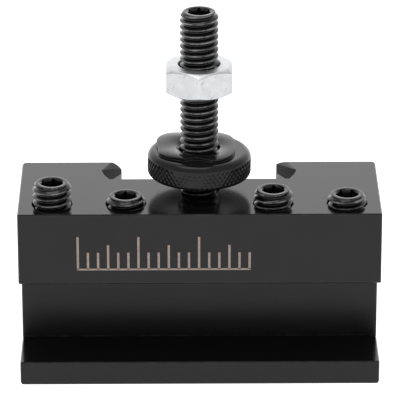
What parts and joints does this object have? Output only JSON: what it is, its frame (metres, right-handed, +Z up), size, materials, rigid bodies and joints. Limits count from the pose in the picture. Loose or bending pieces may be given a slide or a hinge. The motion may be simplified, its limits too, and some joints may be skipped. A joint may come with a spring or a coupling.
{
  "type": "quick change tool holder",
  "caption": "Turning and facing tool holder: steel block with an open tool slot, clamping set screws, a rear dovetail slot, and a height stud with a knurled nut and a lock nut.",
  "frame": {"origin": "centre of the block's footprint, on its bottom face", "axes": "+X along the block's length, +Y from the tool slot to the dovetail slot, +Z up along the screws"},
  "size_m": [0.054, 0.021, 0.0558],
  "materials": {
    "oxide_block": "ground steel with black oxide, semi-gloss",
    "oxide_screw": "black oxide, glossy and oiled",
    "oxide_wheel": "black oxide, satin, knurled rim",
    "zinc_nut": "bright zinc plate"
  },
  "bodies": {
    "holder": {"holder_body": "oxide_block", "height_stud": "oxide_screw"},
    "screw_left_outer": {"clamp_screw_left_outer": "oxide_screw"},
    "screw_left_inner": {"clamp_screw_left_inner": "oxide_screw"},
    "screw_right_inner": {"clamp_screw_right_inner": "oxide_screw"},
    "screw_right_outer": {"clamp_screw_right_outer": "oxide_screw"},
    "height_nut": {"knurled_height_nut": "oxide_wheel"},
    "lock_nut": {"lock_nut": "zinc_nut"}
  },
  "joints": [
    {"name": "clamp_screw_left_outer_travel", "type": "slide", "parent": "holder", "child": "screw_left_outer", "axis": [0, 0, 1], "range_m": [-0.0094, 0.0046]},
    {"name": "clamp_screw_left_inner_travel", "type": "slide", "parent": "holder", "child": "screw_left_inner", "axis": [0, 0, 1], "range_m": [-0.0073, 0.0067]},
    {"name": "clamp_screw_right_inner_travel", "type": "slide", "parent": "holder", "child": "screw_right_inner", "axis": [0, 0, 1], "range_m": [-0.0082, 0.0058]},
    {"name": "clamp_screw_right_outer_travel", "type": "slide", "parent": "holder", "child": "screw_right_outer", "axis": [0, 0, 1], "range_m": [-0.0075, 0.0065]},
    {"name": "height_nut_travel", "type": "slide", "parent": "holder", "child": "height_nut", "axis": [0, 0, 1], "range_m": [-0.0025, 0.0042]},
    {"name": "lock_nut_travel", "type": "slide", "parent": "holder", "child": "lock_nut", "axis": [0, 0, 1], "range_m": [-0.0046, 0.007]}
  ]
}
